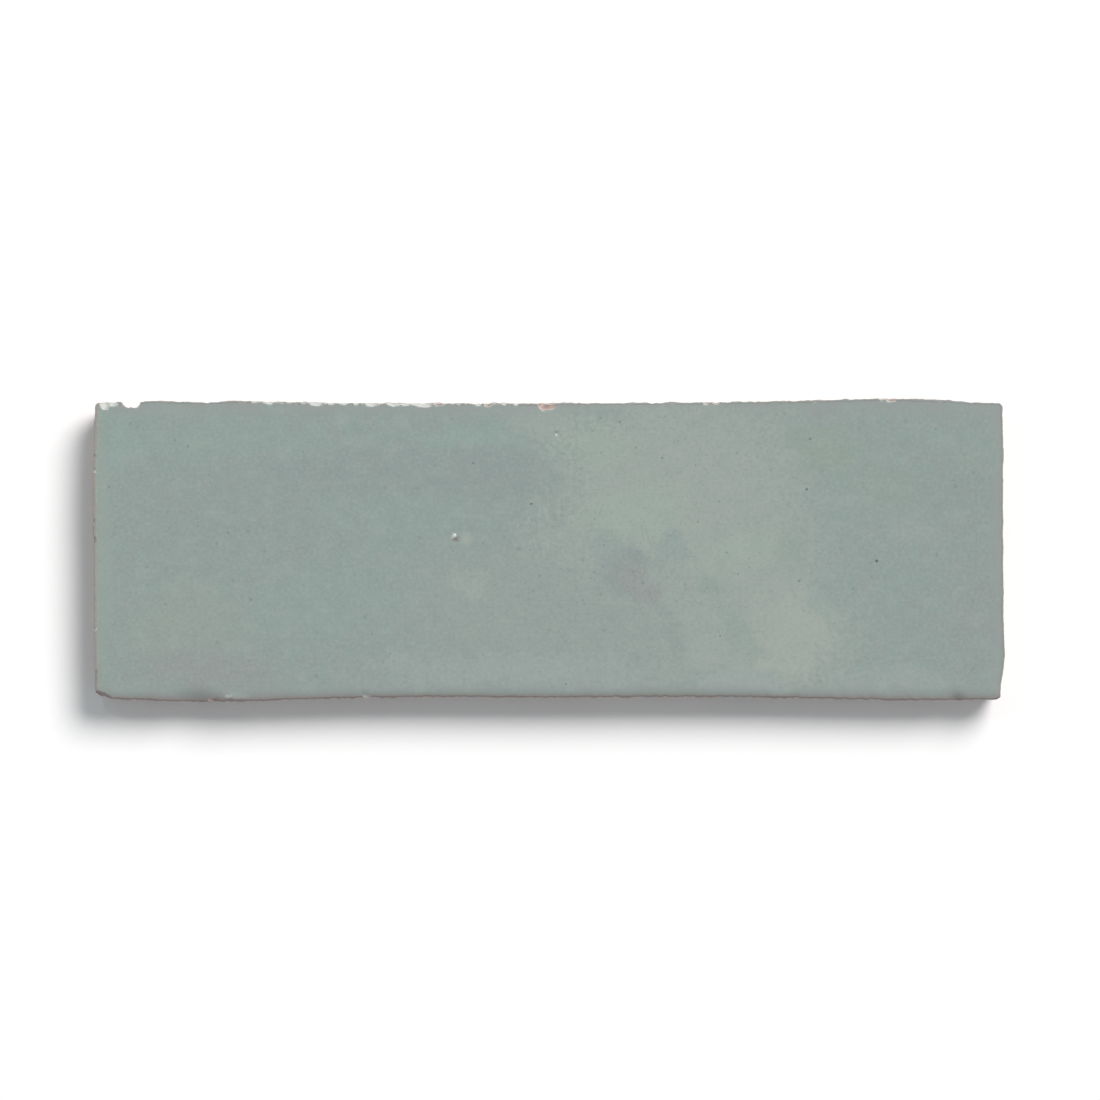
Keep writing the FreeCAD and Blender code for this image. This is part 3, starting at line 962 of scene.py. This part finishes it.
def clay_group(colours, grains):
    """Fired clay: cloudy, with pale grains and a fine grain that stands up from it. Where much of the
    core shows, as on the lower left corner's break, the clay is darkened to brown: painted shade."""
    outputs = {"Color": "Color", "Roughness": "Float", "Height": "Float", "Old": "Float"}
    graph, given, made = new_group("fired_clay_body", {"Place": "Vector", "Core": "Float"}, outputs)
    place = given["Place"]
    cloud = graph.rise(graph.noise(place, size=5, detail=3.0, plane=False), low=0.3, high=0.7)
    tone = graph.mix(cloud, colours["clay_dark"], colours["clay"])
    fine = graph.noise(place, size=0.45, detail=3.0, plane=False)
    tone = graph.mix(graph.rise(fine, low=0.6, high=0.35), tone, colours["clay_dark"], strength=0.35)
    pale = graph.use(grains, Place=place, Spacing=1.6, Share=0.3)["Mask"]
    tone = graph.mix(pale, tone, colours["grog"])
    # Painted shade: a high core value, as on the lower left corner's break, darkens the clay to brown.
    break_shade = graph.times(graph.rise(given["Core"], low=2.6, high=4.0), 0.85)
    graph.feed(made["Old"], break_shade)
    graph.feed(made["Color"], graph.mix(break_shade, tone, colours["stain_and_shade"]))
    graph.feed(made["Roughness"], graph.line(fine, slope=0.2, start=0.7))
    graph.feed(made["Height"], graph.times(fine, CLAY_GRAIN))
    return graph.tree


def new_material(name):
    """A material with an empty graph and its finish."""
    material = bpy.data.materials.new(name)
    material.use_nodes = True
    finish = material.node_tree.nodes["Principled BSDF"]
    return material, Graph(material.node_tree), finish


def relief(graph, finish, height):
    """Tilts the finish's normal by the slope of a height in millimetres."""
    bump = graph.add("Bump", {"Height": height, "Strength": 1.0, "Distance": MM})
    graph.feed(finish.inputs["Normal"], bump.outputs["Normal"])


def fired_clay(clay):
    """The bare sides and back: fired clay with scrape marks along the tile."""
    material, graph, finish = new_material("fired_clay")
    place = graph.millimetres()
    body = graph.use(clay, Place=place, Core=graph.value("core"))
    graph.feed(finish.inputs["Base Color"], body["Color"])
    graph.feed(finish.inputs["Roughness"], body["Roughness"])
    drawn_out = graph.vector("MULTIPLY", place, (0.04, 1.0, 1.0))
    scrapes = graph.noise(drawn_out, size=0.8, detail=3.0, plane=False)
    relief(graph, finish, graph.line(scrapes, slope=CLAY_SCRAPES, start=body["Height"]))
    return material


def ellipse(graph, place, x, y, half_length, half_width, turn=0.0):
    """Distance from a centre, where 1 is the rim of a turned ellipse."""
    inputs = {
        "Vector": place,
        "Location": (x, y, 0.0),
        "Rotation": (0.0, 0.0, turn),
        "Scale": (half_length, half_width, 1.0),
    }
    return graph.vector("LENGTH", graph.add("Mapping", inputs, vector_type="TEXTURE").outputs[0])


def painted(graph, tone, colours, table, place, tear, low, high):
    """The tone with a table's patches on it, each a soft ellipse whose rim is torn."""
    for name, x, y, half_length, half_width, turn, strength in table:
        away = ellipse(graph, place, x, y, half_length, half_width, math.radians(turn))
        mask = graph.rise(graph.math("ADD", away, tear), low, high)
        tone = graph.mix(mask, tone, colours[name], strength)
    return tone


def cloudy_glaze(graph, flat, colours):
    """Colour of the glaze: fine blotches, then soft patches whose rims are torn by noise, and patches
    with a clearer rim, with brush streaks that run across the tile."""
    blotches = graph.rise(graph.noise(flat, size=2.4, detail=3.0), low=0.35, high=0.65)
    tone = graph.mix(blotches, colours["glaze"], colours["green"], strength=0.5)
    greyer = graph.rise(graph.noise(flat, size=4.5, detail=3.0), low=0.45, high=0.75)
    tone = graph.mix(greyer, tone, colours["violet"], strength=0.45)
    brushed = graph.vector("MULTIPLY", flat, (1.0, 0.3, 1.0))
    frayed = graph.drift(flat, flat, size=4, amount=4.5)
    frayed = graph.drift(frayed, brushed, size=1.0, amount=2.5)
    torn = graph.drift(frayed, flat, size=16, amount=9.0)
    stipple = graph.line(graph.noise(flat, size=1.3, detail=4.0, roughness=0.65), slope=1.8, start=-0.9)
    tone = painted(graph, tone, colours, CLOUDS, torn, stipple, low=1.35, high=0.5)
    stipple = graph.times(stipple, 0.5)
    tone = painted(graph, tone, colours, BRUSHED_PATCHES, frayed, stipple, low=1.12, high=0.8)
    bristles = graph.noise(graph.vector("MULTIPLY", flat, (1.0, 0.35, 1.0)), size=0.9)
    stroked = graph.rise(ellipse(graph, torn, *STROKES_ZONE), low=1.2, high=0.6)
    strokes = graph.times(graph.rise(bristles, low=0.54, high=0.7), stroked)
    return graph.mix(strokes, tone, colours["cream"], strength=0.32)


def fine_grain(graph, flat, tone, colours):
    """Mottling of the melted glaze, lighter and darker by a few shades: flecks that the brush drew out
    along the tile, and a fine grain."""
    flecks = graph.noise(graph.vector("MULTIPLY", flat, (0.8, 1.0, 1.0)), size=3.2)
    grain = graph.noise(flat, size=0.8, detail=4.0, roughness=0.7)
    for spread, light, dark in ((flecks, 0.2, 0.05), (grain, 0.5, 0.16)):
        tone = graph.mix(graph.rise(spread, low=0.5, high=0.8), tone, colours["cream"], strength=light)
        tone = graph.mix(graph.rise(spread, low=0.5, high=0.2), tone, colours["speck"], strength=dark)
    return tone


def pinholes(graph, flat, grains, spacing, share, strength):
    return graph.times(graph.use(grains, Place=flat, Spacing=spacing, Share=share)["Mask"], strength)


def speck_and_pit_shade_mask(graph, flat, grains, zone):
    """Dark specks: the listed ones, one of them painted shade in a pit, and pinholes that are denser in a
    zone.
    """
    dense = graph.largest(*(pinholes(graph, flat, grains, *kind) for kind in DENSE_PINHOLES))
    mask = graph.largest(graph.times(dense, zone), pinholes(graph, flat, grains, *STRAY_PINHOLES))
    for x, y, radius, strength in SPECKS_AND_PIT_SHADE:
        away = graph.vector("DISTANCE", flat, (x, y, 0.0))
        near = graph.rise(away, low=radius, high=radius * SPECK_CORE)
        mask = graph.largest(mask, graph.times(near, strength))
    return mask


def unfolded(graph, place, inset):
    """The place in plan, moved on by the way down the lip, so that patterns don't stretch there."""
    down = graph.math("MINIMUM", inset, 0.0)
    step = graph.add("CombineXYZ", {"X": down, "Y": down}).outputs[0]
    return graph.vector("ADD", graph.vector("MULTIPLY", place, (1.0, 1.0, 0.0)), step)


def glaze_fields(graph):
    """What the parts of the glaze read: the place in space and in plan, the mesh's own values, the
    zones of the tile from 0 to 1, and an uneven value that tears every rim."""
    place = graph.millimetres()
    inset, chip, core = (graph.value(name) for name in ("inset", "chip", "core"))
    flat = unfolded(graph, place, inset)
    parts = graph.add("SeparateXYZ", {"Vector": flat}).outputs
    uneven = graph.noise(place, size=0.9, detail=3.0, plane=False)
    return SimpleNamespace(
        place=place,
        flat=flat,
        inset=inset,
        chip=chip,
        core=core,
        left=graph.rise(parts["X"], *LEFT_RIM),
        lower=graph.rise(parts["Y"], *LOWER_RIM),
        pinholed=graph.rise(ellipse(graph, flat, *PINHOLED_ZONE), low=1.2, high=0.5),
        flaked=graph.rise(ellipse(graph, flat, *FLAKED_ZONE), low=1.0, high=0.85),
        ragged=graph.line(uneven, slope=0.5, start=-0.25),
    )


def whole_glaze(graph, at, colours, grains):
    """Colour of the unbroken glaze: its clouds and grain, greyer where it is thin beside the edges,
    with specks and spots, among them painted highlights and painted shade."""
    tone = fine_grain(graph, at.flat, cloudy_glaze(graph, at.flat, colours), colours)
    thin = graph.rise(graph.noise(at.flat, size=8, detail=3.0), low=0.2, high=0.6)
    thin = graph.times(graph.rise(at.inset, low=4.0, high=0.8), thin)
    elsewhere = graph.math("SUBTRACT", 1.0, graph.largest(at.pinholed, at.left))
    tone = graph.mix(graph.times(thin, elsewhere), tone, colours["violet"], strength=0.85)
    tone = graph.mix(speck_and_pit_shade_mask(graph, at.flat, grains, at.pinholed), tone, colours["speck"])
    uneven = graph.drift(at.flat, at.flat, size=1.2, amount=0.9)
    # The spots include painted highlights and painted shade on the blister, the lower lip and a dent.
    for name, x, y, half_length, half_width, strength in SPOTS_AND_PAINTED_LIGHT:
        spot = graph.rise(ellipse(graph, uneven, x, y, half_length, half_width), low=1.0, high=0.35)
        tone = graph.mix(spot, tone, colours[name], strength)
    return tone


def worn_edges(graph, at, tone, colours):
    """The tone with worn, stained edges on it, and white flakes of slip along the upper one. Returns
    with it how far the glaze covers each place."""
    wear = graph.line(at.lower, slope=0.5, start=0.2)
    worn = graph.times(graph.rise(at.inset, low=1.4, high=0.1), wear)
    edge = graph.mix(graph.largest(at.lower, at.left), colours["stain_and_shade"], colours["rim"])
    tone = graph.mix(worn, tone, edge)
    rim = graph.mix(0.1, tone, colours["stain_and_shade"])
    rim = graph.mix(at.left, rim, graph.mix(0.5, colours["fresh"], colours["rim"]), strength=0.5)
    rim = graph.mix(at.lower, rim, colours["rim"])
    flakes = graph.rise(graph.noise(at.flat, size=1.4, detail=3.0), low=0.46, high=0.56)
    rim = graph.mix(graph.times(flakes, at.flaked), rim, colours["slip"], strength=0.85)
    tears = graph.times(at.ragged, graph.line(at.flaked, slope=1.4, start=1.2))
    within = graph.line(at.left, slope=-0.3, start=at.inset)
    cover = graph.rise(graph.math("ADD", within, tears), low=0.24, high=0.44)
    return graph.mix(cover, rim, tone), cover


def open_chips(graph, at, tone, colours, body):
    """The tone with the chips on it: white slip, and where the break goes deeper the clay body, fresh
    or stained, and on the corner's break painted shade. Returns with it the mask of what is broken."""
    broken = graph.rise(at.chip, low=0.03, high=0.09)
    tone = graph.mix(broken, tone, colours["slip"])
    depth = graph.times(graph.line(at.ragged, slope=0.4, start=at.chip), at.core)
    deep = graph.rise(depth, low=0.26, high=0.42)
    fresh = graph.mix(0.3, colours["fresh"], body["Color"])
    blotches = graph.rise(graph.noise(at.flat, size=1.0), low=0.4, high=0.6)
    stained = graph.times(graph.rise(at.inset, low=0.45, high=0.1), blotches)
    # The stain near the outline, and the painted shade of the corner's break.
    stained = graph.largest(graph.times(stained, 0.6), body["Old"])
    return graph.mix(deep, tone, graph.mix(stained, fresh, colours["stain_and_shade"])), broken


def below_the_glaze(graph, at):
    """Mask of the bare clay under the uneven line down to which the glaze ran."""
    runs = graph.line(graph.noise(at.flat, size=7, detail=3.0), slope=2.4, start=-1.2)
    height = graph.math("ADD", graph.math("ADD", at.inset, runs), at.ragged)
    return graph.rise(height, low=-1.1, high=-1.3)


def sage_glaze(colours, grains, clay):
    """The glazed face with its broken edges. From the face outwards it is whole glaze, then a worn and
    stained edge, then the lip, where the glaze ends in an uneven line. The chips show white slip and
    then the clay body. What is bare is dull, and has the grain of the clay."""
    material, graph, finish = new_material("sage_glaze")
    at = glaze_fields(graph)
    body = graph.use(clay, Place=at.place, Core=at.core)
    tone = whole_glaze(graph, at, colours, grains)
    tone, cover = worn_edges(graph, at, tone, colours)
    tone, broken = open_chips(graph, at, tone, colours, body)
    under = below_the_glaze(graph, at)
    graph.feed(finish.inputs["Base Color"], graph.mix(under, tone, body["Color"]))

    bare = graph.largest(graph.math("SUBTRACT", 1.0, cover), broken, under)
    sheen = graph.line(graph.noise(at.flat, size=5, detail=3.0), slope=0.12, start=0.1)
    sheen = graph.line(graph.rise(at.inset, low=1.2, high=0.4), slope=0.12, start=sheen)
    graph.feed(finish.inputs["Roughness"], graph.line(bare, slope=0.5, start=sheen))
    peel = graph.times(graph.noise(at.flat, size=1.6), GLAZE_PEEL)
    relief(graph, finish, graph.line(body["Height"], slope=bare, start=peel))
    return material


class MESH_OT_glazed_tile(bpy.types.Operator):
    """Builds the tile as one fired piece, with its glaze and its bare clay"""

    bl_idname = "mesh.glazed_tile"
    bl_label = "Glazed tile"

    def execute(self, context):
        group = context.scene.tile_sizes
        sizes = SimpleNamespace(**{name: getattr(group, name) / MM for name in TileSizes.__annotations__})
        group = context.scene.tile_colours
        colours = {name: tuple(getattr(group, name)) for name in TileColours.__annotations__}
        grains = grains_group()
        clay = clay_group(colours, grains)
        finishes = (sage_glaze(colours, grains, clay), fired_clay(clay))
        tile = bpy.data.objects.new(PIECE, tile_shape(sizes).mesh(PIECE, finishes))
        context.scene.collection.objects.link(tile)
        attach(tile, BODY)
        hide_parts(NODE)
        return {"FINISHED"}


def white_floor(settings):
    """A white floor under the tile, which takes its shadow."""
    half = settings.floor_size / 2
    corners = [(-half, -half, 0), (half, -half, 0), (half, half, 0), (-half, half, 0)]
    mesh = bpy.data.meshes.new("floor")
    mesh.from_pydata(corners, [], [(0, 1, 2, 3)])
    material, graph, finish = new_material("white_floor")
    graph.feed(finish.inputs["Base Color"], (*(settings.floor_white,) * 3, 1.0))
    graph.feed(finish.inputs["Roughness"], 1.0)
    graph.feed(finish.inputs["Specular IOR Level"], 0.0)
    mesh.materials.append(material)
    return bpy.data.objects.new("floor", mesh)


def white_sky(settings):
    """Even light from all round, which the camera and the gloss see as white."""
    world = bpy.data.worlds.new("studio")
    world.use_nodes = True
    graph = Graph(world.node_tree)
    light = world.node_tree.nodes["Background"]
    rays = graph.add("LightPath").outputs
    seen = graph.largest(rays["Is Camera Ray"], rays["Is Glossy Ray"], rays["Is Transmission Ray"])
    tint = graph.mix(seen, tuple(settings.sky_colour), (1.0, 1.0, 1.0, 1.0))
    strength = graph.line(seen, slope=1 - settings.sky_level, start=settings.sky_level)
    graph.feed(light.inputs["Color"], tint)
    graph.feed(light.inputs["Strength"], strength)
    return world


def key_light(settings):
    """A soft distant light from the upper right. Its strength is the floor's share times pi, over the
    sine of its height."""
    lamp = bpy.data.lights.new("key", "SUN")
    lamp.energy = settings.key_level * math.pi / math.sin(settings.key_height)
    lamp.color = settings.key_colour[:3]
    lamp.angle = settings.key_width
    key = bpy.data.objects.new("key", lamp)
    key.rotation_euler = (0, math.pi / 2 - settings.key_height, settings.key_turn)
    return key


def glint_light(settings):
    """A small lamp at the upper left, for the glints on the blister and in the chips."""
    lamp = bpy.data.lights.new("glint", "AREA")
    lamp.energy = settings.glint_power
    lamp.size = settings.glint_size
    glint = bpy.data.objects.new("glint", lamp)
    glint.location = (settings.glint_x, settings.glint_y, settings.glint_z)
    glint.rotation_mode = "QUATERNION"
    glint.rotation_quaternion = glint.location.to_track_quat("Z", "Y")
    return glint


def overhead_camera(settings, face):
    """A camera straight above the face, at the height where the frame is as wide as asked."""
    data = bpy.data.cameras.new("camera")
    data.lens = settings.lens
    camera = bpy.data.objects.new("camera", data)
    away = settings.frame_width * settings.lens / data.sensor_width
    camera.location = (settings.view_x, settings.view_y, face + away)
    return camera


class SCENE_OT_tile_studio(bpy.types.Operator):
    """Builds the white floor, the light and the camera over the tile"""

    bl_idname = "scene.tile_studio"
    bl_label = "Tile studio"

    def execute(self, context):
        scene = context.scene
        settings = scene.tile_studio
        floor = white_floor(settings)
        camera = overhead_camera(settings, scene.tile_sizes.thickness)
        for item in (floor, key_light(settings), glint_light(settings), camera):
            scene.collection.objects.link(item)
        scene.world = white_sky(settings)
        scene.camera = camera
        scene.view_settings.view_transform = "Standard"
        return {"FINISHED"}


class VIEW3D_PT_tile(bpy.types.Panel):
    """Sizes and colours of the tile, and its studio"""

    bl_label = "Handmade wall tile"
    bl_space_type = "VIEW_3D"
    bl_region_type = "UI"
    bl_category = "Tile"

    def draw(self, context):
        scene = context.scene
        for group in (scene.tile_sizes, scene.tile_colours, scene.tile_studio):
            box = self.layout.box()
            for name in type(group).__annotations__:
                box.prop(group, name)
        self.layout.operator(MESH_OT_glazed_tile.bl_idname)
        self.layout.operator(SCENE_OT_tile_studio.bl_idname)


GROUPS = {"tile_sizes": TileSizes, "tile_colours": TileColours, "tile_studio": StudioSettings}
CLASSES = (*GROUPS.values(), MESH_OT_glazed_tile, SCENE_OT_tile_studio, VIEW3D_PT_tile)


def register():
    for kind in CLASSES:
        bpy.utils.register_class(kind)
    for name, kind in GROUPS.items():
        setattr(bpy.types.Scene, name, bpy.props.PointerProperty(type=kind))


def unregister():
    for name in GROUPS:
        delattr(bpy.types.Scene, name)
    for kind in reversed(CLASSES):
        bpy.utils.unregister_class(kind)


def main():
    register()
    bpy.ops.mesh.glazed_tile()
    bpy.ops.scene.tile_studio()


if __name__ == "__main__":
    main()
